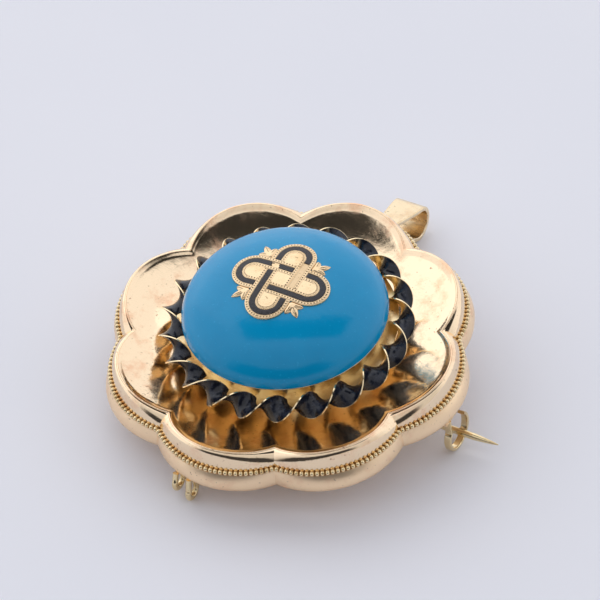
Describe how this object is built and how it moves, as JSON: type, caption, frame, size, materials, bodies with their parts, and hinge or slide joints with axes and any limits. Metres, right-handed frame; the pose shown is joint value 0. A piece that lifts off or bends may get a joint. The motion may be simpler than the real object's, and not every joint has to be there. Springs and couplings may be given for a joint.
{
  "type": "brooch pendant locket",
  "caption": "Lobed gold brooch-pendant locket: domed turquoise enamel front with a knot ornament and twisted ribbon border, glazed back compartment, hinged pin and bail.",
  "frame": {"origin": "centre of the back plate's outer face, on the locket's main axis", "axes": "+Z out of the decorated face, +Y towards the bail, +X towards the pin's catch"},
  "size_m": [0.0493, 0.0543, 0.0214],
  "materials": {
    "polished_gold": "polished",
    "bead_gold": "polished beads",
    "satin_gold": "satin",
    "shaded_gold": "dull",
    "ornament_gold": "engraved",
    "ribbon_gold": "enamelled on one face",
    "wire_gold": "drawn wire",
    "bail_gold": "satin",
    "turquoise_enamel": "gloss",
    "black_enamel": "gloss",
    "card_backing": "matt",
    "clear_glass": "clear"
  },
  "bodies": {
    "locket": {"front_tray": "polished_gold", "upper_rim_band": "polished_gold", "bead_wire": "bead_gold", "lower_rim": "satin_gold", "back_plate": "satin_gold", "enamel_dome": "turquoise_enamel", "dome_edge_ring": "polished_gold", "dome_collet": "shaded_gold", "ribbon_shelf": "shaded_gold", "twisted_ribbon": "ribbon_gold", "knot_plate": "ornament_gold", "knot_inlay": "black_enamel", "leaf_sprigs": "ornament_gold", "ornament_rivet": "shaded_gold", "rivet_washer": "shaded_gold", "compartment_cup": "shaded_gold", "keepsake_disc": "card_backing", "pin_hinge": "satin_gold", "pin_rivet": "wire_gold", "catch": "wire_gold", "catch_foot": "satin_gold", "bail_staple": "wire_gold", "drop_loop_left": "wire_gold", "drop_loop_right": "wire_gold"},
    "pin": {"pin_stem": "wire_gold"},
    "bail": {"bail": "bail_gold"},
    "back_frame": {"glazed_frame": "polished_gold", "locket_glass": "clear_glass"}
  },
  "joints": [
    {"name": "pin_swing", "type": "hinge", "parent": "locket", "child": "pin", "pos_m": [-0.0195, 0, -0.00245], "axis": [0, 1, 0], "range_deg": [0, 105]},
    {"name": "bail_swing", "type": "hinge", "parent": "locket", "child": "bail", "pos_m": [0, 0.0214, -0.0013], "axis": [1, 0, 0], "range_deg": [-136, 36]},
    {"name": "frame_lift", "type": "slide", "parent": "locket", "child": "back_frame", "axis": [0, 0, -1], "range_m": [0, 0.0022]}
  ]
}
